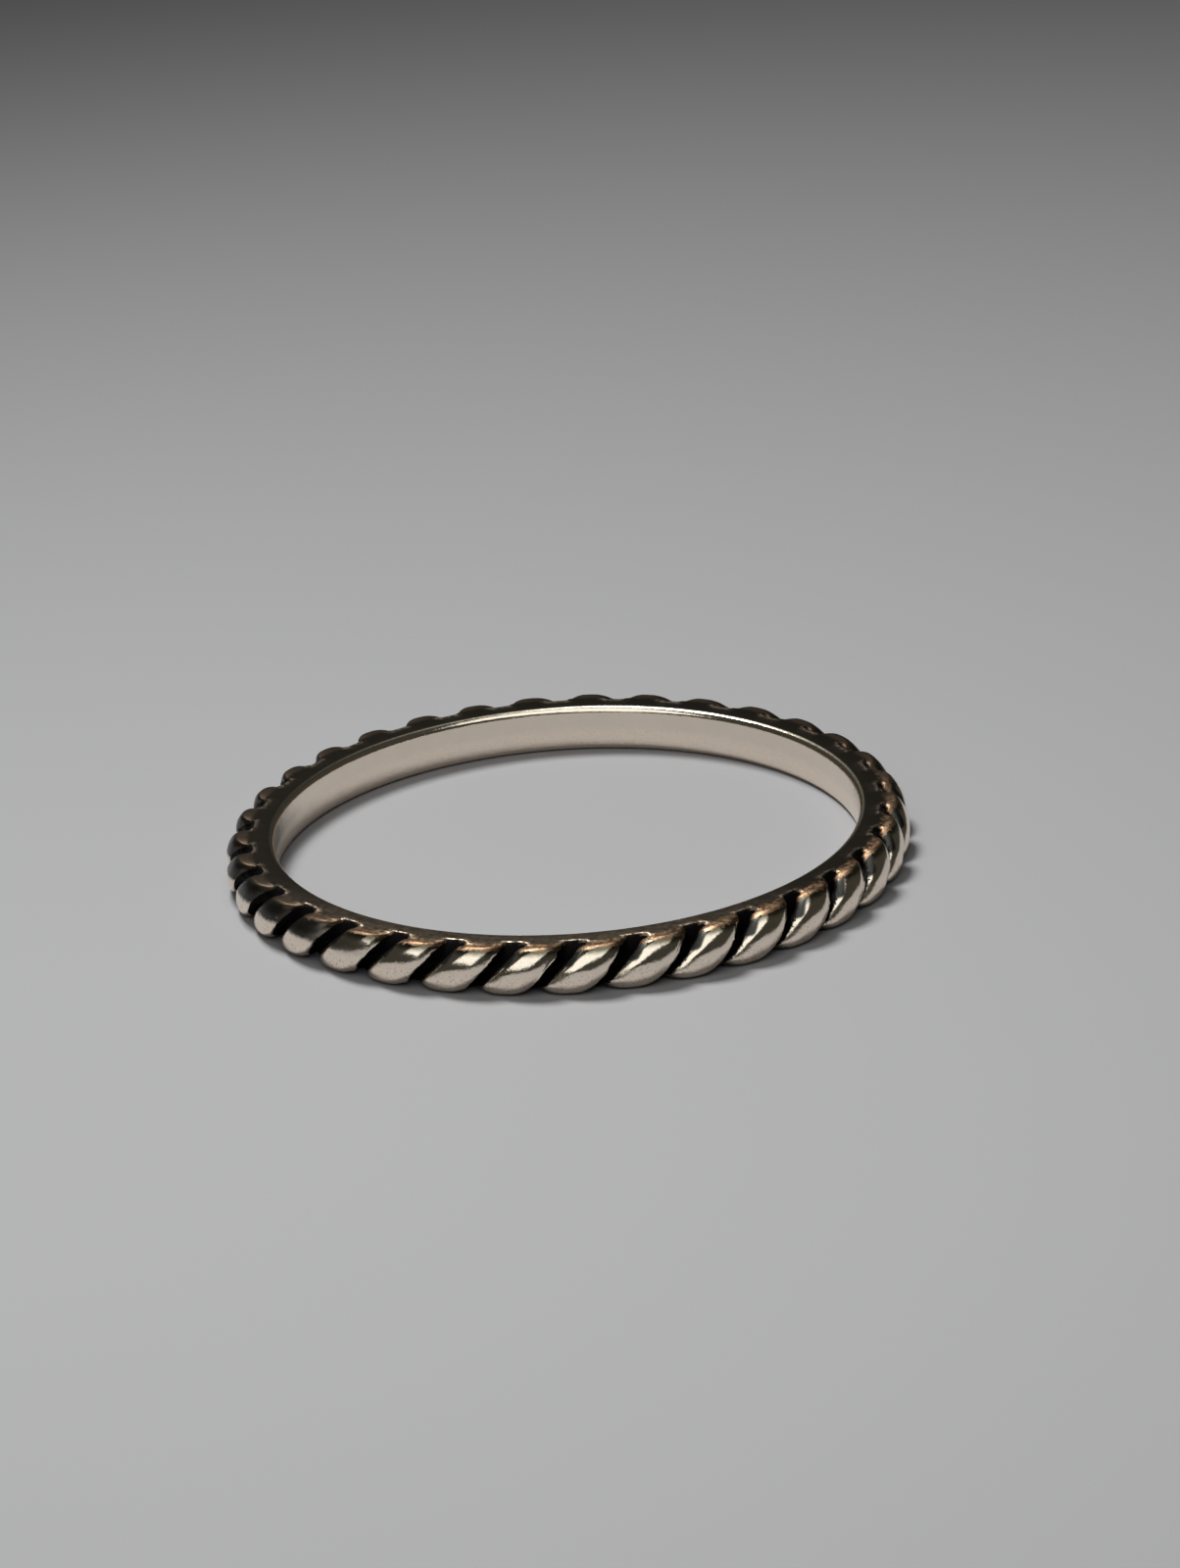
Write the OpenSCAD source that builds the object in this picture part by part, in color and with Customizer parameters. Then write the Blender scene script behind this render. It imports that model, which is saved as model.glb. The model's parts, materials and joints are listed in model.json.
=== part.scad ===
// Rope twist ring: a one-piece cast band with slanted lobes carved round its outside.
// Millimetres. The origin is on the finger axis, on the plane that the ring lies on.
// +Z is along the finger.

/* [Band] */
// Inner diameter of the band
bore_d = 17.3; // [14:0.1:22]
// Height of the band along the finger
band_h = 1.4; // [1.2:0.1:2.4]
// Thickness of the band, from the bore to the crest of a lobe
wall = 1.5; // [1.4:0.1:2]
// Radius that softens each end of the finger bore
bore_edge_r = 0.2; // [0.05:0.05:0.3]
// Width of the flat face on each side, from the bore to the shoulder at the middle of a lobe
face_w = 1.08; // [1:0.02:1.2]
// Roundness of the upper half of the outside: 2 is an ellipse, more is squarer
round_power = 1.6; // [1.4:0.1:3]
// Roundness of the lower half of the outside
under_power = 3; // [1.4:0.1:4]

/* [Twist] */
// Number of lobes round the band
lobes = 34; // [20:1:44]
// Angle of the first lobe's sharp edge at half height, in degrees from -Y towards +X
first_lobe = 4.6; // [0:0.1:10]
// Slant of the grooves on the outside, in degrees from the plane of the band
slant = 54; // [35:1:75]
// Lean of the grooves on the side faces, in degrees from the radius
head_lean = 14; // [0:1:40]
// Width of the smooth rim between the bore and the heads of the grooves
rim_w = 0.66; // [0.5:0.02:0.8]
// Depth of the grooves at half the height of the band
groove_depth = 0.53; // [0.2:0.01:0.6]
// Share of the pitch that a groove's steep wall takes
steep_share = 0.08; // [0.02:0.01:0.1]
// Share of the pitch from a lobe's sharp edge to the far side of the groove's floor
floor_share = 0.22; // [0.11:0.01:0.3]
// Share of the pitch from a lobe's sharp edge to the crest of the next lobe
crest_share = 0.75; // [0.4:0.01:0.85]
// Height of a lobe's sharp edge above the groove, as a share of the crest's
edge_share = 0.84; // [0.6:0.01:1]
// How suddenly a lobe rises from the groove: 2 is an ellipse, more is a steeper foot and a flatter top
rise_power = 3; // [2:0.5:4]
// How a lobe falls from its crest to its sharp edge: 1 is straight, more keeps it full for longer
fall_power = 1.7; // [1:0.1:3]
// How suddenly a groove drops at its heads: less is steeper
entry_power = 0.3; // [0.2:0.05:0.6]
// How far the flat face recedes towards the ends of a lobe, which makes the lobe a pillow
pillow = 0.3; // [0:0.02:0.3]
// Share of the pitch from a lobe's sharp edge to where the next lobe's shoulder is fullest
pillow_middle = 0.6; // [0.4:0.05:0.8]
// How late the face recedes towards the groove behind a lobe: more keeps it full for longer
tip_fall = 2; // [1:0.5:4]
// How late the face recedes towards a lobe's sharp edge: more keeps it full for longer
edge_fall = 4; // [1:0.5:6]
// Share of the pillow's fall that the lower tips of the lobes take
under_tip = 0.3; // [0:0.1:1]

/* [Fineness] */
// Steps from the floor of a groove up to the crest of a lobe
flank_steps = 4; // [3:1:5]
// Steps round the outside from shoulder to shoulder
round_steps = 12; // [8:2:14]

/* [Hidden] */

bore_r = bore_d / 2;
mid_h = band_h / 2;
head_r = bore_r + rim_w;
shoulder_r = bore_r + face_w;
crest_r = bore_r + wall;
// The lobed body starts inside the bore, which is then cut through it
blank_r = bore_r - bore_edge_r;
cut_past = 0.5;
bore_facets = 180;
edge_facets = 48;

// Shares of the pitch at which a lobe's profile is sampled, closer together at its foot
foot_closeness = 1.8;
flank_share = crest_share - floor_share;
PHASES = concat(
    [0, steep_share],
    [for (k = [0 : flank_steps]) floor_share + flank_share * pow(k / flank_steps, foot_closeness)],
    [(crest_share + 1) / 2]
);

// Height of the lobe profile: 0 at the floor of a groove, 1 at the crest of a lobe
function lobe_height(phase) =
    phase <= steep_share ? edge_share * (1 - phase / steep_share) :
    phase <= floor_share ? 0 :
    phase <= crest_share ? pow(1 - pow(below_crest(phase), rise_power), 1 / rise_power) :
    1 - (1 - edge_share) * pow((phase - crest_share) / (1 - crest_share), fall_power);
function below_crest(phase) = (crest_share - phase) / flank_share;

function signed_power(value, power) = sign(value) * pow(abs(value), power);

// Section of the uncarved skin over the lobes, from the upper groove heads round to the lower ones
function half_power(angle) = angle < 0 ? under_power : round_power;
function round_point(angle) = [
    shoulder_r + (crest_r - shoulder_r) * signed_power(cos(angle), 2 / half_power(angle)),
    mid_h + mid_h * signed_power(sin(angle), 2 / half_power(angle))
];
head_mid_r = (head_r + shoulder_r) / 2;
SKIN = concat(
    [[head_r, band_h], [head_mid_r, band_h]],
    [for (k = [0 : round_steps]) round_point(90 - 180 * k / round_steps)],
    [[head_mid_r, 0], [head_r, 0]]
);
last_row = len(SKIN) - 1;
mid_row = last_row / 2;

// Length along the skin from the upper heads to each row, counted from mid height
function skin_length(row) = row == 0 ? 0 : skin_length(row - 1) + norm(SKIN[row] - SKIN[row - 1]);
upper_length = skin_length(mid_row);
under_length = skin_length(last_row) - upper_length;
face_length = shoulder_r - head_r;
function from_mid(row) = upper_length - skin_length(row);
function side_length(row) = row > mid_row ? under_length : upper_length;

// The grooves' floor is a shallow arc from the upper heads to the lower ones, steep at each head
floor_bulge = crest_r - groove_depth - head_r;
function floor_point(row) =
    let (turn = 1 - min(1, abs(from_mid(row)) / side_length(row)),
         rise = sign(from_mid(row)) * cos(90 * pow(turn, entry_power)))
    [head_r + floor_bulge * (1 - rise * rise), mid_h + mid_h * rise];
FLOOR = [for (row = [0 : last_row]) floor_point(row)];

// Angle by which the twist has turned at each row: slight over the side faces, strong on the outside
function turned_arc(row) =
    let (outside = min(abs(from_mid(row)), side_length(row) - face_length),
         on_face = abs(from_mid(row)) - outside)
    sign(from_mid(row)) * (outside / tan(slant) + on_face * tan(head_lean));
TWIST = [for (row = [0 : last_row]) turned_arc(row) / crest_r * 180 / PI];

// The shoulder's radius at each phase, and the skin's rows moved in or out with it
function before_middle(phase) = max(0, (pillow_middle - phase) / (pillow_middle - floor_share));
function past_middle(phase) =
    phase < floor_share ? 1 : max(0, (phase - pillow_middle) / (1 - pillow_middle));
function shoulder_at(phase, row) =
    let (foot = before_middle(max(phase, floor_share)) * (row > mid_row ? under_tip : 1))
    shoulder_r - pillow * max(pow(foot, tip_fall), pow(past_middle(phase), edge_fall));
function pillowed(phase, row) =
    let (shoulder = shoulder_at(phase, row), at = SKIN[row])
    [at[0] < shoulder_r ? head_r + (at[0] - head_r) * (shoulder - head_r) / (shoulder_r - head_r) :
                          crest_r - (crest_r - at[0]) * (crest_r - shoulder) / (crest_r - shoulder_r),
     at[1]];

// Sections of the lobed body: two plain rows inside the bore close each section on itself
function lobe_point(phase, row) = FLOOR[row] + lobe_height(phase) * (pillowed(phase, row) - FLOOR[row]);
function section(phase) = concat(
    [[blank_r, band_h, TWIST[0]]],
    [for (row = [0 : last_row]) concat(lobe_point(phase, row), TWIST[row])],
    [[blank_r, 0, TWIST[last_row]]]
);
pitch = 360 / lobes;
SECTIONS = [for (phase = PHASES) section(phase)];
rows = len(SECTIONS[0]);
columns = lobes * len(PHASES);

// A point of the body, with angles counted from -Y towards +X
function body_point(column, row) =
    let (lobe = floor(column / len(PHASES)),
         phase_index = column % len(PHASES),
         at = SECTIONS[phase_index][row],
         angle = first_lobe + pitch * (lobe + PHASES[phase_index]) + at[2])
    [at[0] * sin(angle), -at[0] * cos(angle), at[1]];

module lobed_body() {
    points = [for (column = [0 : columns - 1]) for (row = [0 : rows - 1]) body_point(column, row)];
    faces = [
        for (column = [0 : columns - 1])
        for (row = [0 : rows - 1])
        let (next_column = (column + 1) % columns,
             next_row = (row + 1) % rows,
             a = column * rows + row,
             b = next_column * rows + row,
             c = next_column * rows + next_row,
             d = column * rows + next_row)
        each [[a, b, c], [a, c, d]]
    ];
    polyhedron(points = points, faces = faces, convexity = 10);
}

// The finger bore with its soft ends, as a solid to cut away
module bore_cut() {
    rotate_extrude($fn = bore_facets)
        difference() {
            translate([0, -cut_past])
                square([bore_r + bore_edge_r, band_h + 2 * cut_past]);
            translate([bore_r, bore_edge_r])
                square([2 * bore_edge_r, band_h - 2 * bore_edge_r]);
            for (end_z = [bore_edge_r, band_h - bore_edge_r])
                translate([bore_r + bore_edge_r, end_z])
                    circle(r = bore_edge_r, $fn = edge_facets);
        }
}

module twist_band() {
    color([0.72, 0.68, 0.62])
        difference() {
            lobed_body();
            bore_cut();
        }
}

twist_band();
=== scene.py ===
"""Rope twist ring: the finished look of a one-piece cast silver band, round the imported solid."""

import json
import math

import bpy
import numpy as np
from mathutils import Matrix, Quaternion, Vector


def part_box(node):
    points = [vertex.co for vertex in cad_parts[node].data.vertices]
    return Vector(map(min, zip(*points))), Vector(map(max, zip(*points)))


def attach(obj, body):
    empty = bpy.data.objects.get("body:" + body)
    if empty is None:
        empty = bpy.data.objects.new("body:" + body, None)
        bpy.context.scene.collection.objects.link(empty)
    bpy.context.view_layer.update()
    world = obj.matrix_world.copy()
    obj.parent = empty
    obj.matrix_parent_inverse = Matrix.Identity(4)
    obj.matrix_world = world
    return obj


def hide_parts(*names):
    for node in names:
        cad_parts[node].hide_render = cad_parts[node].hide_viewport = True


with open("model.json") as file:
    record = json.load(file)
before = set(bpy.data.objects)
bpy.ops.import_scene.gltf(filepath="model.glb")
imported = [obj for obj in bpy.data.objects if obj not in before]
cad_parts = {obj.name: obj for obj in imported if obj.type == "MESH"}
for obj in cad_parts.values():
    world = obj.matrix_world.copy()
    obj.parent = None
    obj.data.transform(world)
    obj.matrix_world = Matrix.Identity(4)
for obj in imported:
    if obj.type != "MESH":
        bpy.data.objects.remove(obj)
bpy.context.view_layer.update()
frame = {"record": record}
BAND_LOW, BAND_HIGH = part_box("twist_band")

MM = 0.001

# The band in millimetres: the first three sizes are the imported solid's, and the rest repeat its source
BORE_R = frame["record"]["mounts"][0]["dims"]["r_mm"]
BAND_H = (BAND_HIGH.z - BAND_LOW.z) / MM
CREST_R = (BAND_HIGH.x - BAND_LOW.x) / 2 / MM
MID_H = BAND_H / 2
BORE_EDGE_R = 0.2
RIM_W = 0.66
FACE_W = 1.08
GROOVE_DEPTH = 0.53
HEAD_R = BORE_R + RIM_W
SHOULDER_R = BORE_R + FACE_W

# Section over a lobe: how square it is above and below, and how far its face recedes at the lobe's ends
ROUND_POWER = 1.6
UNDER_POWER = 3
PILLOW = 0.3
PILLOW_MIDDLE = 0.6
TIP_FALL = 2
EDGE_FALL = 4
UNDER_TIP = 0.3

# Lobes and grooves: a share of the pitch is called a phase, and is counted from a lobe's sharp edge
LOBES = 34
PITCH = 2 * math.pi / LOBES
FIRST_LOBE = math.radians(4.6)
SLANT = math.radians(54)
HEAD_LEAN = math.radians(14)
STEEP_SHARE = 0.08
FLOOR_SHARE = 0.22
CREST_SHARE = 0.75
EDGE_SHARE = 0.84
RISE_POWER = 3
FALL_POWER = 1.7
ENTRY_POWER = 0.3

# Fineness of the mesh: steps across a lobe, down half a section, and over the bore, with its fewer columns
SKIN_STEPS = 2000
WALL_STEPS = 5
FLOOR_STEPS = 6
FLANK_STEPS = 14
CREST_STEPS = 10
FOOT_CLOSENESS = 1.8
HALF_ROWS = 30
HEAD_CLOSENESS = 1.4
BORE_COLUMN_STEP = 5
BORE_EDGE_STEPS = 8
BORE_WALL_STEPS = 3

# Phases at which a groove's head, cut by hand, starts to fade and ends, and where its arch and corner lie
HEAD_PHASES = (0.31, 0.37)
HEAD_ARCH_FROM = FLOOR_SHARE + 0.02
HEAD_CORNER_TO = 0.14

# Millimetres that metal reaches into a head: a shift, an arch on one side and a round corner on the other
HEAD_SHIFT = 0.012
HEAD_ARCH = 0.16
HEAD_CORNER = 0.13

# Millimetres that this web of metal slopes down over, before and past its end
WEB_BEFORE = 0.015
WEB_PAST = 0.025

# Share by which the arches differ, and share of a lobe's height that a scooped head loses
HEAD_ARCH_UNEVEN = 0.35
HEAD_SCOOP = 0.6

# Millimetres in from a head's end over which the scoop deepens, and between which it fades
SCOOP_ENTRY = 0.04
SCOOP_FADE = (0.12, 0.38)

# Height and width in millimetres of the thin raised lip round the upper heads, and its crest in lip widths
LIP_H = 0.018
LIP_W = 0.07
LIP_CREST = 0.6

# Rows of points on the smooth rim, in millimetres from the heads towards the bore
RIM_PLACES = (0.02, 0.05, 0.09, 0.16)

# Phases at which the lip fades and rises on the rim, rises at a lobe's sharp edge, and lies on its flank
RIM_LIP_FADE = (FLOOR_SHARE + 0.06, FLOOR_SHARE + 0.2)
RIM_LIP_RISE = (0.86, 0.98)
EDGE_LIP_RISE = (0.93, 0.99)
FLANK_LIP = (FLOOR_SHARE + 0.02, FLOOR_SHARE + 0.1, FLOOR_SHARE + 0.12, FLOOR_SHARE + 0.24)

# Unevenness in millimetres: of the groove walls, in ripples of two lengths, and of the lobes' fullness
RAGGED_COARSE = 0.03
RAGGED_COARSE_LENGTH = 0.3
RAGGED_FINE = 0.018
RAGGED_FINE_LENGTH = 0.09
LOBE_UNEVEN = 0.015

# Phases over which the raggedness rises to a lobe's sharp edge, and falls again below it
RAGGED_EDGE = (0.93, 1)
RAGGED_FOOT = (STEEP_SHARE, STEEP_SHARE + 0.06)

# The lobes are not spaced quite evenly: two slow swells round the ring and a little scatter
SPACING_SWELL = math.radians(0.6)
SWELLS = 2
SWELL_AT = math.radians(12)
SPACING_SCATTER = math.radians(0.25)
SEED = 11

# Stain beside a lobe's sharp edge: the depth it counts as, its phases, and millimetres up and from the head
EDGE_STAIN = 0.19
EDGE_STAIN_PHASES = (0.8, 0.98)
EDGE_STAIN_UP = (0.05, 0.3)
EDGE_STAIN_IN = (0.45, 0.65)

# Painted shade over a lobe's foot: its phases, and millimetres up from mid height
FOOT_SHADE = (FLOOR_SHARE, FLOOR_SHARE + 0.02, 0.34, 0.42)
FOOT_SHADE_UP = (0.1, 0.3)

# Distances that keep the fringe of oxide off the web at the heads, and off the rims and the bore
FRINGE_OFF_WEB = 1.12
FRINGE_NONE = 9

# The photograph's frame in pixels, and where the middle of the ring falls in it
PHOTO_W = 1204
PHOTO_H = 1600
RING_PX = (580.7, 877.7)
FOCAL_PX = 8280
CAMERA_DISTANCE = 240.25 * MM
CAMERA_ELEVATION = math.radians(22.66)
CAMERA_ROLL = math.radians(-3.89)
CAMERA_CLIP = (10 * MM, 10000 * MM)
SENSOR_MM = 36

# The wide panel that the metal mirrors, in front and overhead, a little to the left
PANEL_AZIMUTH = math.radians(-13)
PANEL_ELEVATION = math.radians(53)
PANEL_ROLL = math.radians(44)
PANEL_DISTANCE = 150 * MM
PANEL_SIZE = (250 * MM, 154 * MM)
PANEL_POWER = 0.136

# The lamp that lights the floor, high behind the ring on the left and aimed at the floor in front
LAMP_AZIMUTH = math.radians(-150)
LAMP_ELEVATION = math.radians(64)
LAMP_DISTANCE = 180 * MM
LAMP_AIM = (0, -50 * MM, 0)
LAMP_SIZE = (60 * MM, 60 * MM)
LAMP_SPREAD = math.radians(90)
LAMP_POWER = 0.154

# The colour of both lights, of the dark room and of the paper that the ring lies on
LIGHT_COLOR = (0.97, 1, 0.97)
ROOM_COLOR = (0.043, 0.042, 0.034, 1)
PAPER_COLOR = (0.236, 0.229, 0.241, 1)
PAPER_ROUGHNESS = 0.9
PAPER_HALF = 1000 * MM

# Size in millimetres, detail and roughness of the noises that break up the metal's finish
PATCHES = (0.5, 3, 0.55)
MOTTLE = (0.16, 4, 0.65)
GRAIN = (0.05, 2, 0.55)
PITS = (0.06, 1, 0.55)
TEETH = (0.1, 3, 0.6)
WAVES = (0.3, 1, 0.55)

# Colours of the metal, of what lies on it and of painted light and shade on it: a pair is the two ends of a
# mottled colour
POLISHED = ((0.9, 0.79, 0.67, 1), (0.86, 0.76, 0.65, 1))
# Cloudy satin silver, set lighter than the polished as a painted reflection of the bright floor
SATIN_WITH_PAINTED_REFLECTION = ((0.93, 0.79, 0.65, 1), (1, 0.88, 0.75, 1))
PIT = (0.25, 0.19, 0.14, 1)
# Tarnish from its shaded copy at the sides and back to its lit copy at the front: painted sheen
TARNISH_OLD_AND_SHADED = (0.009, 0.007, 0.005, 1)
TARNISH_FRESH_AND_LIT = ((0.018, 0.015, 0.012, 1), (0.056, 0.041, 0.028, 1))
COPPER_DARK = (0.035, 0.022, 0.014, 1)
# Copper from painted shade on the left to rubbed brightness on the right
COPPER_RUBBED_AND_SHADED = ((0.03, 0.023, 0.018, 1), (0.19, 0.112, 0.065, 1))
TARNISH_RIDGE = (0.22, 0.145, 0.095, 1)
# A haze below the tarnish's edge: partly thin tarnish, partly painted shade that dims the panel's
# reflection above the highlights
HAZE_AND_SHADE = (0.17, 0.155, 0.105, 1)
# Painted shade over the lobes' feet
FOOT_SHADE_COLOR = (0.05, 0.05, 0.045, 1)
# Dark grey over the upper half of the lobes at the left
LEFT_DARK_COLOR = (0.055, 0.052, 0.045, 1)
WORN_LIP = (0.3, 0.23, 0.175, 1)
OXIDE = (0.006, 0.005, 0.005, 1)

# Roughness of each finish, where a pair runs with the grain
POLISHED_ROUGHNESS = (0.09, 0.15)
SATIN_ROUGHNESS = (0.17, 0.27)
FOOT_SHADE_AND_LEFT_DARK_ROUGHNESS = 0.32
TARNISH_ROUGHNESS = 0.46
WORN_LIP_ROUGHNESS = 0.36
OXIDE_ROUGHNESS = 0.6

# Millimetres at which each finish starts and is full: heights, reaches from the bore, depths and distances
SATIN_HEIGHT = (0.95, 0.65)
OUT_OF_BORE = (0.05, 0.2)
TARNISH_REACH = 1.22
TARNISH_EDGE = (-0.02, 0.04)
RIDGE_RISE = (0, 0.03)
RIDGE_FALL = (0.1, 0.04)
HAZE_AND_SHADE_EDGE = (-0.23, -0.03)
COPPER_REACH = (0.85, 1.05)
LEFT_DARK_SIDE = (-5.5, -8)
LEFT_DARK_HEIGHT = (0.82, 0.98)
OXIDE_DEPTH = (0.2, 0.25)
OXIDE_FRINGE = (0.08, 0.03)

# The lips wear most at the front, a little left of the middle, where the tarnish is lighter as painted
# sheen; copper is rubbed bright on the right and darkened on the left as painted shade: directions and
# millimetres
FRONT_WEAR_AND_SHEEN_X = -0.174
FRONT_WEAR_AND_SHEEN_Y = 0.985
FRONT_WEAR_AND_SHEEN = (4.2, 8.8)
RUBBED_AND_SHADED_X = 0.45
RUBBED_AND_SHADED = (0, 8.5)

# Parts of a noise's or share's range between which a finish changes
WHOLE = (0, 1)
NOISE_MIDDLE = (0.3, 0.7)
PIT_NOISE = (0.6, 0.7)
WORN_MOTTLE = (0.36, 0.6)
RIDGE_PATCHES = (0.35, 0.6)
LEFT_DARK_PATCHES = (0.25, 0.4)
COPPER_BLOTCHES = (0.42, 0.6)
FOOT_SHADE_SHARE = (0.2, 0.85)

# Strengths that a finish runs between
PIT_STRENGTH = (0.1, 0.6)
BORE_PIT_STRENGTH = (0.3, 1)
LEFT_DARK_STRENGTH = (0.6, 1)
WORN_STRENGTH = (0.35, 1)

# How strongly a noise moves the border of a finish
HEIGHT_MOTTLE = 0.2
TARNISH_JAG = 0.3
HAZE_AND_SHADE_JAG = 0.4
FOOT_SHADE_JAG = 1.5
COPPER_MOTTLE = 0.3
DEPTH_MOTTLE = 0.16
DEPTH_GRAIN = 0.08
FRINGE_TEETH = 0.4

# Parts that the mottle and the grain have in the coppery blotches
BLOTCH_MOTTLE = 0.7
BLOTCH_GRAIN = 0.3

# Height of the bumps, and how strongly the faint waves and the fine grain show
BUMP_DISTANCE = 0.01 * MM
WAVES_STRENGTH = 0.5
GRAIN_STRENGTH = 0.28


def make_camera():
    """The camera stands in front of the ring and is turned so that the ring's middle falls at RING_PX."""
    camera = bpy.data.objects.new("camera", bpy.data.cameras.new("camera"))
    bpy.context.scene.collection.objects.link(camera)
    camera.data.sensor_width = SENSOR_MM
    camera.data.lens = FOCAL_PX * SENSOR_MM / max(PHOTO_W, PHOTO_H)
    camera.data.clip_start, camera.data.clip_end = CAMERA_CLIP
    back = Vector((0, -math.cos(CAMERA_ELEVATION), math.sin(CAMERA_ELEVATION)))
    camera.location = CAMERA_DISTANCE * back
    yaw = math.atan((RING_PX[0] - PHOTO_W / 2) / FOCAL_PX)
    pitch = math.atan((RING_PX[1] - PHOTO_H / 2) / FOCAL_PX)
    camera.rotation_mode = "QUATERNION"
    camera.rotation_quaternion = (
        (-back).to_track_quat("-Z", "Y")
        @ Quaternion((0, 0, 1), CAMERA_ROLL)
        @ Quaternion((0, 1, 0), yaw)
        @ Quaternion((1, 0, 0), pitch)
    )
    bpy.context.scene.camera = camera


def direction(azimuth, elevation):
    """Unit vector from the ring, with azimuth counted from -Y towards +X."""
    return Vector((
        math.sin(azimuth) * math.cos(elevation),
        -math.cos(azimuth) * math.cos(elevation),
        math.sin(elevation),
    ))


def area_light(name, location, target, roll, size, power):
    """A rectangular soft light at location that faces target."""
    light = bpy.data.lights.new(name, "AREA")
    light.shape = "RECTANGLE"
    light.size, light.size_y = size
    light.energy = power
    light.color = LIGHT_COLOR
    holder = bpy.data.objects.new(name, light)
    bpy.context.scene.collection.objects.link(holder)
    holder.location = location
    holder.rotation_mode = "QUATERNION"
    facing = (target - location).to_track_quat("-Z", "Y")
    holder.rotation_quaternion = facing @ Quaternion((0, 0, 1), roll)
    return light


def make_lights():
    panel_at = PANEL_DISTANCE * direction(PANEL_AZIMUTH, PANEL_ELEVATION)
    area_light("panel", panel_at, Vector((0, 0, 0)), PANEL_ROLL, PANEL_SIZE, PANEL_POWER)
    lamp_at = LAMP_DISTANCE * direction(LAMP_AZIMUTH, LAMP_ELEVATION)
    lamp = area_light("lamp", lamp_at, Vector(LAMP_AIM), 0, LAMP_SIZE, LAMP_POWER)
    lamp.spread = LAMP_SPREAD


def make_room():
    """A dark, slightly warm room round the panel."""
    world = bpy.data.worlds.new("room")
    world.use_nodes = True
    background = world.node_tree.nodes["Background"]
    background.inputs["Color"].default_value = ROOM_COLOR
    background.inputs["Strength"].default_value = 1
    bpy.context.scene.world = world


def paper_material():
    material = bpy.data.materials.new("paper")
    material.use_nodes = True
    shader = material.node_tree.nodes["Principled BSDF"]
    shader.inputs["Base Color"].default_value = PAPER_COLOR
    shader.inputs["Roughness"].default_value = PAPER_ROUGHNESS
    return material


def make_floor():
    """A plain pale sheet of paper under the ring."""
    mesh = bpy.data.meshes.new("floor")
    corners = [(PAPER_HALF * x, PAPER_HALF * y, 0) for x, y in ((-1, -1), (1, -1), (1, 1), (-1, 1))]
    mesh.from_pydata(corners, [], [(0, 1, 2, 3)])
    mesh.materials.append(paper_material())
    floor = bpy.data.objects.new("floor", mesh)
    bpy.context.scene.collection.objects.link(floor)


def smooth_step(value, start, end):
    """Rises smoothly from 0 at start to 1 at end."""
    share = np.clip((value - start) / (end - start), 0, 1)
    return share * share * (3 - 2 * share)


def hump(value, start, full, fade, end):
    """Rises from 0 at start to 1 at full, and falls from fade to 0 at end."""
    return smooth_step(value, start, full) * (1 - smooth_step(value, fade, end))


def ripple(rng, places, spacing):
    """Smooth random values from -1 to 1 along places, a row of them for each lobe."""
    at = (places - places.min()) / spacing
    whole = at.astype(int)
    share = smooth_step(at - whole, 0, 1)
    knots = rng.uniform(-1, 1, (LOBES, whole.max() + 2))
    return knots[:, whole] * (1 - share) + knots[:, whole + 1] * share


def section_skin():
    """The skin over the lobes as a fine line, from the upper heads down: radius, height and length."""
    turn = np.linspace(0, math.pi, SKIN_STEPS + 1)
    power = np.where(np.cos(turn) > 0, ROUND_POWER, UNDER_POWER)
    out = np.sin(turn) ** (2 / power)
    up = np.sign(np.cos(turn)) * np.abs(np.cos(turn)) ** (2 / power)
    r = np.concatenate([[HEAD_R], SHOULDER_R + (CREST_R - SHOULDER_R) * out, [HEAD_R]])
    z = np.concatenate([[BAND_H], MID_H + MID_H * up, [0]])
    length = np.concatenate([[0], np.cumsum(np.hypot(np.diff(r), np.diff(z)))])
    return r, z, length


def groove_floor(share):
    """Radius and height of the grooves' floor, an arc from the upper heads, share 1, to the lower, -1."""
    rise = np.sign(share) * np.cos(math.pi / 2 * (1 - np.abs(share)) ** ENTRY_POWER)
    return HEAD_R + (CREST_R - GROOVE_DEPTH - HEAD_R) * (1 - rise**2), MID_H + MID_H * rise


def twist_turn(from_mid, side):
    """Angle that the twist has turned at each row: slight over the side faces, strong on the outside."""
    outside = np.minimum(np.abs(from_mid), side - (FACE_W - RIM_W))
    on_face = np.abs(from_mid) - outside
    return np.sign(from_mid) * (outside / math.tan(SLANT) + on_face * math.tan(HEAD_LEAN)) / CREST_R


class Section:
    """A plain section of the band in rows of points, from the upper groove heads to the lower ones."""

    def __init__(self):
        skin_r, skin_z, length = section_skin()
        upper_side = np.interp(-MID_H, -skin_z, length)
        under_side = length[-1] - upper_side
        share = 1 - np.linspace(0, 1, HALF_ROWS + 1) ** HEAD_CLOSENESS
        self.from_mid = np.concatenate([upper_side * share, -under_side * share[-2::-1]])
        side = np.where(self.from_mid < 0, under_side, upper_side)
        self.from_head = side - np.abs(self.from_mid)
        self.skin_r = np.interp(upper_side - self.from_mid, length, skin_r)
        self.skin_z = np.interp(upper_side - self.from_mid, length, skin_z)
        self.floor_r, self.floor_z = groove_floor(self.from_mid / side)
        self.twist = twist_turn(self.from_mid, side)


def lobe_phases():
    """Phases across one lobe, close together where its profile bends most."""
    wall = np.linspace(0, STEEP_SHARE, WALL_STEPS, endpoint=False)
    floor = np.linspace(STEEP_SHARE, FLOOR_SHARE, FLOOR_STEPS, endpoint=False)
    climb = np.linspace(0, 1, FLANK_STEPS, endpoint=False) ** FOOT_CLOSENESS
    flank = FLOOR_SHARE + (CREST_SHARE - FLOOR_SHARE) * climb
    crest = np.linspace(CREST_SHARE, 1, CREST_STEPS, endpoint=False)
    return np.concatenate([wall, floor, flank, crest])


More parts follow.
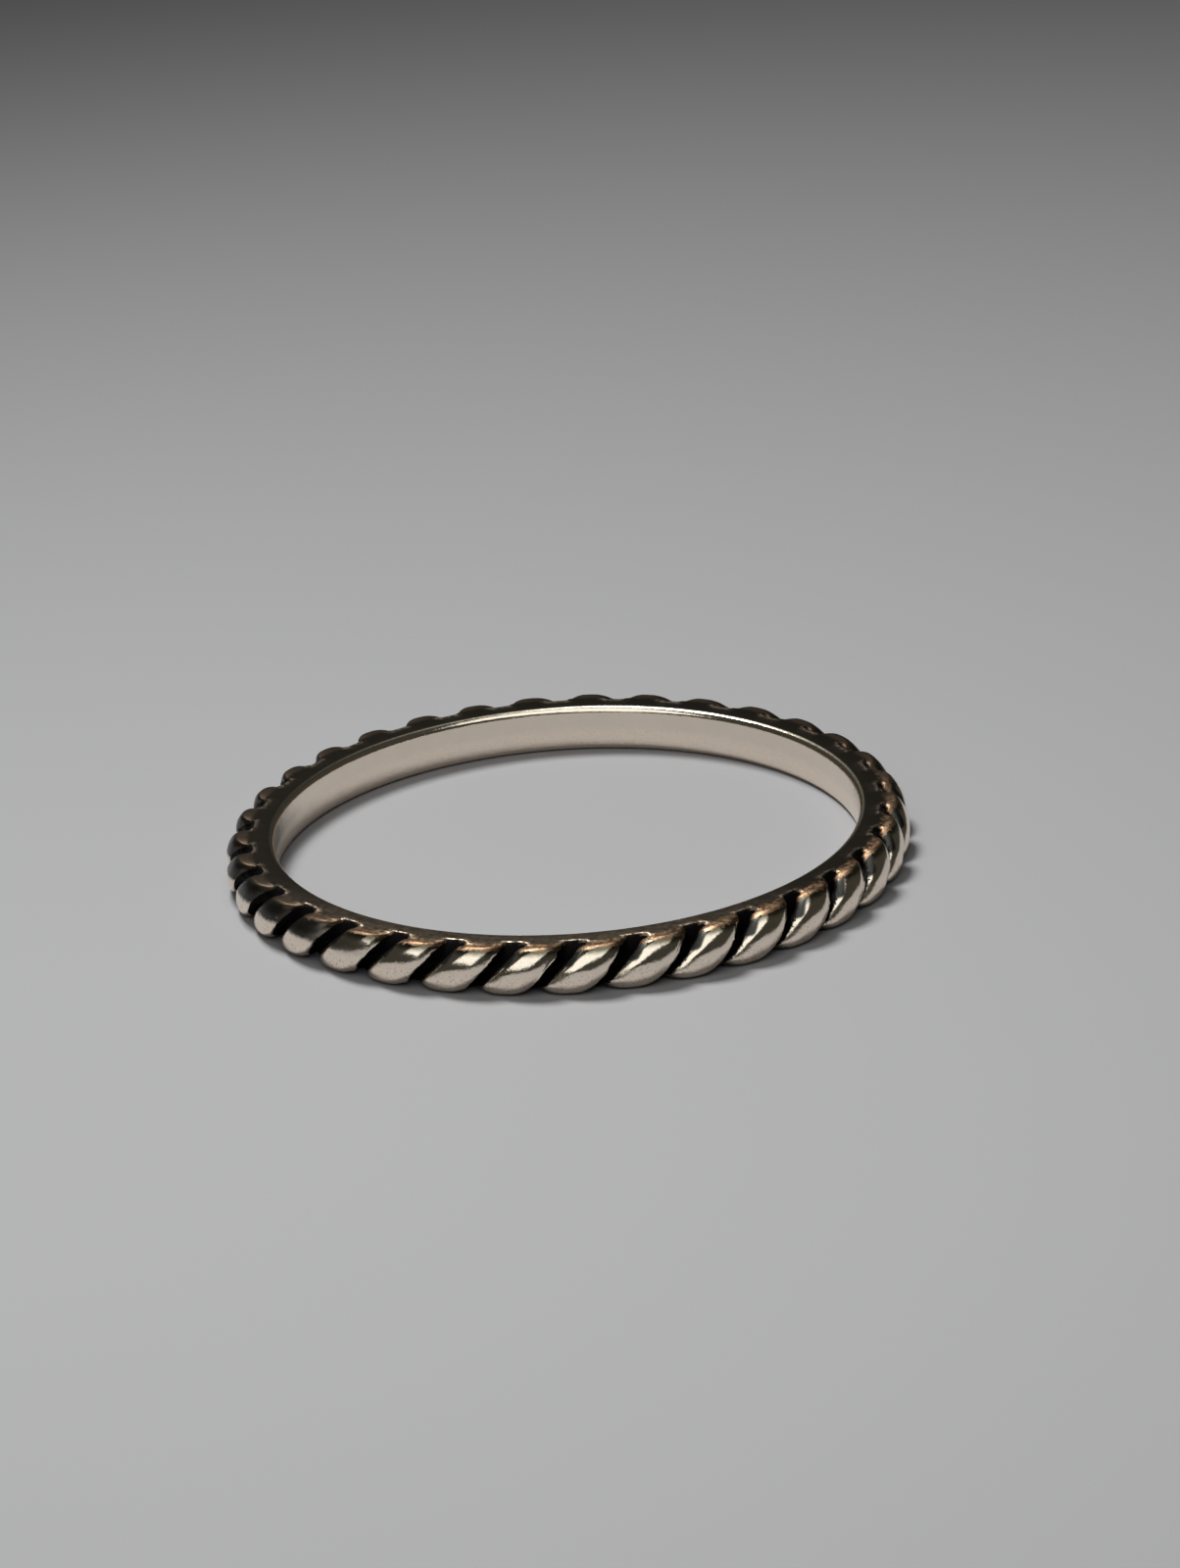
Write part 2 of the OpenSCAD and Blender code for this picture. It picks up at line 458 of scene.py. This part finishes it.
def lobe_height(phase):
    """Height of the lobe profile: 0 at the floor of a groove, 1 at the crest of a lobe."""
    rise = np.clip((CREST_SHARE - phase) / (CREST_SHARE - FLOOR_SHARE), 0, 1)
    fall = np.clip((phase - CREST_SHARE) / (1 - CREST_SHARE), 0, 1)
    height = np.where(phase < CREST_SHARE, (1 - rise**RISE_POWER) ** (1 / RISE_POWER),
                      1 - (1 - EDGE_SHARE) * fall**FALL_POWER)
    height = np.where(phase < FLOOR_SHARE, 0, height)
    return np.where(phase < STEEP_SHARE, EDGE_SHARE * (1 - phase / STEEP_SHARE), height)


def pillowed(section, phases):
    """The skin's radius for each phase and row: the flat face recedes towards both ends of a lobe."""
    before = np.clip((PILLOW_MIDDLE - phases) / (PILLOW_MIDDLE - FLOOR_SHARE), 0, 1)
    before = before[:, None] * np.where(section.skin_z < MID_H, UNDER_TIP, 1)
    after = np.clip((phases - PILLOW_MIDDLE) / (1 - PILLOW_MIDDLE), 0, 1)
    after = np.where(phases < STEEP_SHARE, 1, after)[:, None]
    shoulder = SHOULDER_R - PILLOW * np.maximum(before**TIP_FALL, after**EDGE_FALL)
    face = HEAD_R + (section.skin_r - HEAD_R) * (shoulder - HEAD_R) / (SHOULDER_R - HEAD_R)
    outside = CREST_R - (CREST_R - section.skin_r) * (CREST_R - shoulder) / (CREST_R - SHOULDER_R)
    return np.where(section.skin_r < SHOULDER_R, face, outside)


def head_cuts(section, phases):
    """How far each groove's head is scooped, and the web of metal at its end, by lobe, phase and row."""
    shifts, arches = np.random.default_rng(SEED + 2).uniform(-1, 1, (2, LOBES, 1, 1))
    arch = np.clip((phases - HEAD_ARCH_FROM) / (HEAD_PHASES[1] - HEAD_ARCH_FROM), 0, 1) ** 2
    corner = HEAD_CORNER * (1 - smooth_step(phases, 0, HEAD_CORNER_TO))
    start = HEAD_SHIFT * (1 + shifts) + HEAD_ARCH * (1 + HEAD_ARCH_UNEVEN * arches) * arch[:, None]
    start = start + corner[:, None]
    across = hump(phases, 0, STEEP_SHARE / 2, *HEAD_PHASES)
    scoop = across[:, None] * smooth_step(section.from_head - start, 0, SCOOP_ENTRY)
    scoop = scoop * (1 - smooth_step(section.from_head, *SCOOP_FADE))
    web = 1 - smooth_step(section.from_head, start - WEB_BEFORE, start + WEB_PAST)
    return scoop, web


def face_lip(section, phases):
    """The lip's share on the side faces, beside each head, by phase and row."""
    beside = smooth_step(phases, *EDGE_LIP_RISE) + hump(phases, *FLANK_LIP)
    return beside[:, None] * (1 - smooth_step(RIM_W + section.from_head, RIM_W, FACE_W))


def stained_depth(section, phases, skin_r, height, scoop):
    """Depth below the skin, counted as more where oxide stains the upper half of a lobe's sharp edge."""
    depth = (1 - height) * np.hypot(skin_r - section.floor_r, section.skin_z - section.floor_z)
    beside = np.where(phases < STEEP_SHARE, 1, smooth_step(phases, *EDGE_STAIN_PHASES))
    stain = beside[:, None] * smooth_step(section.from_mid, *EDGE_STAIN_UP)
    stain = stain * smooth_step(section.from_head, *EDGE_STAIN_IN)
    return np.maximum(np.maximum(depth, GROOVE_DEPTH * scoop), EDGE_STAIN * stain)


def floor_fringe(phases, web):
    """Distance up a lobe's foot from a groove's floor: negative in the groove, large on its rim and web."""
    across = np.where(phases < FLOOR_SHARE, -1, phases - FLOOR_SHARE)
    across = np.where(phases == 0, 1, across)
    return across[:, None] * (PITCH * CREST_R) + FRINGE_OFF_WEB * web


def lobed_outside(section, phases):
    """The lobed outside by lobe, phase and row: its shape, and the values that drive the material."""
    scoop, web = head_cuts(section, phases)
    height = np.maximum(lobe_height(phases)[:, None] * (1 - HEAD_SCOOP * scoop), web)
    skin_r = pillowed(section, phases)
    rng = np.random.default_rng(SEED)
    fullness = LOBE_UNEVEN * rng.uniform(-1, 1, (LOBES, 1, 1)) * height
    fullness = fullness * smooth_step(skin_r, HEAD_R, CREST_R)
    ragged = RAGGED_COARSE * ripple(rng, section.from_mid, RAGGED_COARSE_LENGTH)
    ragged = ragged + RAGGED_FINE * ripple(rng, section.from_mid, RAGGED_FINE_LENGTH)
    near_wall = smooth_step(phases, *RAGGED_EDGE) + (1 - smooth_step(phases, *RAGGED_FOOT))
    lip = face_lip(section, phases)
    rise = height * (section.skin_z - section.floor_z)
    layers = {
        "r": section.floor_r + height * (skin_r - section.floor_r) + fullness,
        "z": section.floor_z + rise + LIP_H * lip * (section.from_mid > 0),
        "turn": section.twist + (ragged / CREST_R)[:, None, :] * near_wall[:, None],
        "groove": stained_depth(section, phases, skin_r, height, scoop),
        "reach": RIM_W + section.from_head,
        "lip": lip,
        # Share of painted shade over the lobe's foot
        "film": hump(phases, *FOOT_SHADE)[:, None] * smooth_step(section.from_mid, *FOOT_SHADE_UP),
        "fringe": floor_fringe(phases, web),
    }
    return {name: np.broadcast_to(layer, height.shape) for name, layer in layers.items()}


def with_rims(outside, phases):
    """The outside's layers with the rows of the smooth rim before and after them, from bore to bore."""
    rim_r = HEAD_R - np.array(RIM_PLACES)
    beside = 1 - smooth_step(phases, *RIM_LIP_FADE) + smooth_step(phases, *RIM_LIP_RISE)
    lip = beside[:, None] * np.exp(-(((HEAD_R - rim_r) / LIP_W - LIP_CREST) ** 2))
    rim = {"r": rim_r, "groove": 0, "reach": rim_r - BORE_R, "lip": lip, "film": 0, "fringe": FRINGE_NONE}
    upper = rim | {"z": BAND_H + LIP_H * lip, "turn": outside["turn"][:, :, :1]}
    lower = rim | {"z": 0, "turn": outside["turn"][:, :, -1:]}
    shape = (LOBES, len(phases), len(RIM_PLACES))
    layers = {}
    for name, layer in outside.items():
        before = np.broadcast_to(upper[name], shape)[..., ::-1]
        after = np.broadcast_to(lower[name], shape)
        layers[name] = np.concatenate([before, layer, after], axis=2)
    return layers


def column_angles(phases):
    """Angle of each column of points at mid height, from -Y towards +X, by lobe and phase."""
    rng = np.random.default_rng(SEED + 1)
    starts = FIRST_LOBE + PITCH * np.arange(LOBES)
    shift = SPACING_SWELL * np.cos(SWELLS * (starts - SWELL_AT))
    shift = shift + SPACING_SCATTER * rng.uniform(-1, 1, LOBES)
    shift = shift[:, None] * (1 - phases) + np.roll(shift, -1)[:, None] * phases
    return starts[:, None] + PITCH * phases + shift


def bore_section():
    """Radius and height of the bore and its two soft edges, in rows from the lower rim to the upper."""
    edge = np.linspace(0, math.pi / 2, BORE_EDGE_STEPS + 1)
    edge_r = BORE_R + BORE_EDGE_R * (1 - np.cos(edge))
    edge_z = BORE_EDGE_R * (1 - np.sin(edge))
    wall_z = np.linspace(BORE_EDGE_R, BAND_H - BORE_EDGE_R, BORE_WALL_STEPS + 1)[1:-1]
    r = np.concatenate([edge_r[::-1], np.full(len(wall_z), BORE_R), edge_r])
    z = np.concatenate([edge_z[::-1], wall_z, BAND_H - edge_z])
    return r, z


def ring_points(r, angle, z):
    """Points round the finger axis, column by column."""
    return np.stack(np.broadcast_arrays(r * np.sin(angle), -r * np.cos(angle), z), axis=-1).reshape(-1, 3)


def grid_faces(vertices):
    """Quads of a closed ring of columns, from its vertex numbers by column and row."""
    following = np.roll(vertices, -1, axis=0)
    corners = [vertices[:, :-1], vertices[:, 1:], following[:, 1:], following[:, :-1]]
    return np.stack(corners, axis=2).reshape(-1, 4).tolist()


def seam_faces(fine, coarse):
    """Faces that join each side of the coarse loop of vertices to the run of finer sides that it meets."""
    step = len(fine) // len(coarse)
    faces = []
    for cell in range(len(coarse)):
        run = [fine[(cell * step + k) % len(fine)] for k in range(step + 1)]
        faces.append(run + [coarse[(cell + 1) % len(coarse)], coarse[cell]])
    return faces


def band_faces(columns, rows, bore_columns, bore_rows):
    """Faces of the outside, the bore and the two seams between them, which close the band."""
    outside = np.arange(columns * rows).reshape(columns, rows)
    bore = outside.size + np.arange(bore_columns * bore_rows).reshape(bore_columns, bore_rows)
    lower = seam_faces(outside[:, -1].tolist(), bore[:, 0].tolist())
    upper = seam_faces(outside[:, 0].tolist(), bore[:, -1].tolist())
    return grid_faces(outside) + grid_faces(bore) + [face[::-1] for face in lower] + upper


def set_values(mesh, name, outside, bore):
    """One of the values that drive the material, at every vertex of the outside and then of the bore."""
    attribute = mesh.attributes.new(name, "FLOAT", "POINT")
    values = np.concatenate([outside.reshape(-1), bore.reshape(-1)])
    attribute.data.foreach_set("value", values.astype(np.float32))


def make_band():
    """The band as one closed mesh: fine columns follow the twist, coarser ones line the finger bore."""
    phases = lobe_phases()
    layers = with_rims(lobed_outside(Section(), phases), phases)
    angle = column_angles(phases)[:, :, None] + layers.pop("turn")
    outside = ring_points(layers.pop("r"), angle, layers.pop("z"))
    angle = angle.reshape(LOBES * len(phases), -1)

    bore_r, bore_z = bore_section()
    share = np.linspace(0, 1, len(bore_r))
    met = angle[::BORE_COLUMN_STEP]
    bore_angle = met[:, -1:] * (1 - share) + met[:, :1] * share
    bore = ring_points(bore_r, bore_angle, bore_z)

    mesh = bpy.data.meshes.new("twisted_band")
    faces = band_faces(*angle.shape, *bore_angle.shape)
    mesh.from_pydata((np.concatenate([outside, bore]) * MM).tolist(), [], faces)
    mesh.update()
    mesh.polygons.foreach_set("use_smooth", np.ones(len(faces), bool))
    bore_values = {"groove": 0, "reach": bore_r - BORE_R, "lip": 0, "film": 0, "fringe": FRINGE_NONE}
    for name, layer in layers.items():
        set_values(mesh, name, layer, np.broadcast_to(bore_values[name], bore_angle.shape))
    band = bpy.data.objects.new("twisted_band", mesh)
    bpy.context.scene.collection.objects.link(band)
    return band


class Nodes:
    """Short calls for the nodes of one material, placed by the object's own coordinates."""

    def __init__(self, material):
        self.tree = material.node_tree
        self.place = self.tree.nodes.new("ShaderNodeTexCoord").outputs["Object"]

    def link(self, value, socket):
        if isinstance(value, bpy.types.NodeSocket):
            self.tree.links.new(value, socket)
        else:
            socket.default_value = value

    def attribute(self, name):
        node = self.tree.nodes.new("ShaderNodeAttribute")
        node.attribute_name = name
        return node.outputs["Fac"]

    def along(self, axis):
        """The place's coordinate on one axis, in millimetres."""
        node = self.tree.nodes.new("ShaderNodeSeparateXYZ")
        self.link(self.place, node.inputs[0])
        return self.product(node.outputs[axis], 1 / MM)

    def noise(self, look):
        size, detail, roughness = look
        node = self.tree.nodes.new("ShaderNodeTexNoise")
        node.inputs["Scale"].default_value = 1 / (size * MM)
        node.inputs["Detail"].default_value = detail
        node.inputs["Roughness"].default_value = roughness
        self.link(self.place, node.inputs["Vector"])
        return node.outputs["Fac"]

    def math(self, operation, a, b):
        node = self.tree.nodes.new("ShaderNodeMath")
        node.operation = operation
        self.link(a, node.inputs[0])
        self.link(b, node.inputs[1])
        return node.outputs[0]

    def total(self, first, *others):
        for other in others:
            first = self.math("ADD", first, other)
        return first

    def product(self, first, *others):
        for other in others:
            first = self.math("MULTIPLY", first, other)
        return first

    def wobble(self, noise, strength):
        """The noise, moved to lie about 0 and scaled."""
        return self.product(self.math("SUBTRACT", noise, 0.5), strength)

    def ramp(self, value, span, output=(0, 1)):
        """Runs smoothly through output as value runs through span, and stays level outside it."""
        node = self.tree.nodes.new("ShaderNodeMapRange")
        node.interpolation_type = "SMOOTHSTEP"
        self.link(value, node.inputs["Value"])
        for name, number in zip(("From Min", "From Max", "To Min", "To Max"), span + output):
            node.inputs[name].default_value = number
        return node.outputs["Result"]

    def blend(self, share, a, b, kind="RGBA"):
        node = self.tree.nodes.new("ShaderNodeMix")
        node.data_type = kind
        self.link(share, node.inputs["Factor"])
        self.link(a, node.inputs["A"])
        self.link(b, node.inputs["B"])
        return node.outputs["Result"]

    def coated(self, base, coats, kind="RGBA"):
        """The base under its coats, each a share of cover and the colour or number that it gives."""
        for share, coat in coats:
            base = self.blend(share, base, coat, kind)
        return base

    def bump(self, height, strength):
        node = self.tree.nodes.new("ShaderNodeBump")
        node.inputs["Distance"].default_value = BUMP_DISTANCE
        node.inputs["Strength"].default_value = strength
        self.link(height, node.inputs["Height"])
        return node


class Silver(Nodes):
    """Worn warm silver with painted light and shade in places: where each finish lies, from 0 to 1, and the
    colour, roughness and bump of all.
    """

    def __init__(self, material):
        super().__init__(material)
        self.patches = self.noise(PATCHES)
        self.mottle = self.noise(MOTTLE)
        self.grain = self.noise(GRAIN)
        self.jagged = self.wobble(self.mottle, TARNISH_JAG)
        self.reach = self.attribute("reach")
        self.outside = self.ramp(self.reach, OUT_OF_BORE)
        self.side = self.along("X")
        self.back = self.along("Y")
        self.height = self.total(self.along("Z"), self.product(self.mottle, HEIGHT_MOTTLE))
        self.satin = self.ramp(self.height, SATIN_HEIGHT)
        self.place_wear_sheen_and_shade()
        self.place_tarnish()
        self.place_foot_shade_and_left_dark()
        self.place_oxide()

    def place_wear_sheen_and_shade(self):
        """The front has the most worn lips and painted sheen on its tarnish. The right has rubbed copper,
        and the copper on the left is darkened as painted shade.
        """
        leftward = self.product(self.side, FRONT_WEAR_AND_SHEEN_X)
        front = self.math("SUBTRACT", leftward, self.product(self.back, FRONT_WEAR_AND_SHEEN_Y))
        # Painted sheen: the side faces' tarnish is lighter towards the front
        self.front_wear_and_sheen = self.ramp(front, FRONT_WEAR_AND_SHEEN)
        # Rubbed copper on the right, and painted shade that darkens the copper and its ridge on the left
        rightward = self.product(self.side, RUBBED_AND_SHADED_X)
        self.rubbed_and_shaded = self.ramp(self.math("SUBTRACT", rightward, self.back), RUBBED_AND_SHADED)
        worn = self.product(self.attribute("lip"), self.ramp(self.mottle, WORN_MOTTLE))
        self.worn = self.product(worn, self.ramp(self.front_wear_and_sheen, WHOLE, WORN_STRENGTH))

    def place_tarnish(self):
        """Tarnish covers the side faces to the shoulders, with a bright ridge at its edge and a haze below
        it, partly thin tarnish and partly painted shade dimming the panel's reflection.
        """
        within = self.math("SUBTRACT", TARNISH_REACH, self.reach)
        edge = self.total(within, self.jagged)
        self.tarnished = self.product(self.ramp(edge, TARNISH_EDGE), self.outside)
        ridge = self.product(self.ramp(edge, RIDGE_RISE), self.ramp(edge, RIDGE_FALL))
        self.ridge = self.product(ridge, self.rubbed_and_shaded, self.ramp(self.patches, RIDGE_PATCHES))
        # Partly thin tarnish, partly painted shade over the panel's reflection
        haze_and_shade = self.total(within, self.product(self.jagged, HAZE_AND_SHADE_JAG))
        self.haze_and_shade = self.product(self.ramp(haze_and_shade, HAZE_AND_SHADE_EDGE), self.outside)

    def place_foot_shade_and_left_dark(self):
        """Painted shade lies over the lobes' feet, and the upper half of the lobes at the left is made
        darker.
        """
        film = self.total(self.attribute("film"), self.product(self.jagged, FOOT_SHADE_JAG))
        self.film = self.ramp(film, FOOT_SHADE_SHARE)
        # The upper half of the lobes at the left is made darker and rougher
        left_dark = self.product(self.ramp(self.side, LEFT_DARK_SIDE), self.ramp(self.height, LEFT_DARK_HEIGHT))
        patchy = self.ramp(self.patches, LEFT_DARK_PATCHES, LEFT_DARK_STRENGTH)
        self.left_dark = self.product(left_dark, patchy, self.outside)

    def place_oxide(self):
        """Black oxide fills the grooves, ragged on their walls and with a toothed fringe at the foot."""
        depth = self.total(
            self.attribute("groove"),
            self.wobble(self.mottle, DEPTH_MOTTLE),
            self.wobble(self.grain, DEPTH_GRAIN),
        )
        fringe = self.total(self.attribute("fringe"), self.wobble(self.noise(TEETH), FRINGE_TEETH))
        self.oxide = self.math("MAXIMUM", self.ramp(depth, OXIDE_DEPTH), self.ramp(fringe, OXIDE_FRINGE))

    def mottled(self, noise, colors):
        return self.blend(self.ramp(noise, NOISE_MIDDLE), *colors)

    def clean_color(self):
        """Polished silver above and cloudy satin below, the satin lighter as a painted reflection of the
        floor, both with fine dark pits.
        """
        polished = self.mottled(self.patches, POLISHED)
        silver = self.blend(self.satin, polished, self.mottled(self.grain, SATIN_WITH_PAINTED_REFLECTION))
        pits = self.product(
            self.ramp(self.noise(PITS), PIT_NOISE),
            self.ramp(self.satin, WHOLE, PIT_STRENGTH),
            self.ramp(self.outside, WHOLE, BORE_PIT_STRENGTH),
        )
        return self.blend(pits, silver, PIT)

    def tarnish_color(self):
        """Brown tarnish, lighter at the front as painted sheen, and coppery near the shoulders: rubbed
        bright on the right, darkened as painted shade on the left.
        """
        brown = self.blend(self.front_wear_and_sheen, TARNISH_OLD_AND_SHADED, self.mottled(self.mottle, TARNISH_FRESH_AND_LIT))
        blotches = self.product(self.mottle, BLOTCH_MOTTLE)
        blotches = self.total(blotches, self.product(self.grain, BLOTCH_GRAIN))
        # Copper darkened on the left as painted shade, rubbed bright on the right
        rubbed_and_shaded = self.blend(self.rubbed_and_shaded, *COPPER_RUBBED_AND_SHADED)
        copper = self.blend(self.ramp(blotches, COPPER_BLOTCHES), COPPER_DARK, rubbed_and_shaded)
        outward = self.total(self.reach, self.product(self.mottle, COPPER_MOTTLE))
        brown = self.blend(self.ramp(outward, COPPER_REACH), brown, copper)
        return self.blend(self.ridge, brown, TARNISH_RIDGE)

    def color(self):
        return self.coated(self.clean_color(), (
            (self.haze_and_shade, HAZE_AND_SHADE),
            # Painted shade over the lobes' feet
            (self.film, FOOT_SHADE_COLOR),
            (self.left_dark, LEFT_DARK_COLOR),
            (self.tarnished, self.tarnish_color()),
            (self.worn, WORN_LIP),
            (self.oxide, OXIDE),
        ))

    def roughness(self):
        polished = self.ramp(self.grain, NOISE_MIDDLE, POLISHED_ROUGHNESS)
        satin = self.ramp(self.grain, NOISE_MIDDLE, SATIN_ROUGHNESS)
        return self.coated(polished, (
            (self.satin, satin),
            (self.math("MAXIMUM", self.film, self.left_dark), FOOT_SHADE_AND_LEFT_DARK_ROUGHNESS),
            (self.tarnished, TARNISH_ROUGHNESS),
            (self.worn, WORN_LIP_ROUGHNESS),
            (self.oxide, OXIDE_ROUGHNESS),
        ), "FLOAT")

    def normal(self):
        """Fine grain over faint waves."""
        waves = self.bump(self.noise(WAVES), WAVES_STRENGTH)
        grain = self.bump(self.total(self.grain, self.mottle), GRAIN_STRENGTH)
        self.link(waves.outputs["Normal"], grain.inputs["Normal"])
        return grain.outputs["Normal"]


def silver_material():
    material = bpy.data.materials.new("silver")
    material.use_nodes = True
    shader = material.node_tree.nodes["Principled BSDF"]
    shader.inputs["Metallic"].default_value = 1
    silver = Silver(material)
    silver.link(silver.color(), shader.inputs["Base Color"])
    silver.link(silver.roughness(), shader.inputs["Roughness"])
    silver.link(silver.normal(), shader.inputs["Normal"])
    return material


make_camera()
make_lights()
make_room()
make_floor()
band = make_band()
band.data.materials.append(silver_material())
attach(band, "root")
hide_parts("twist_band")
bpy.context.scene.view_settings.view_transform = "Standard"
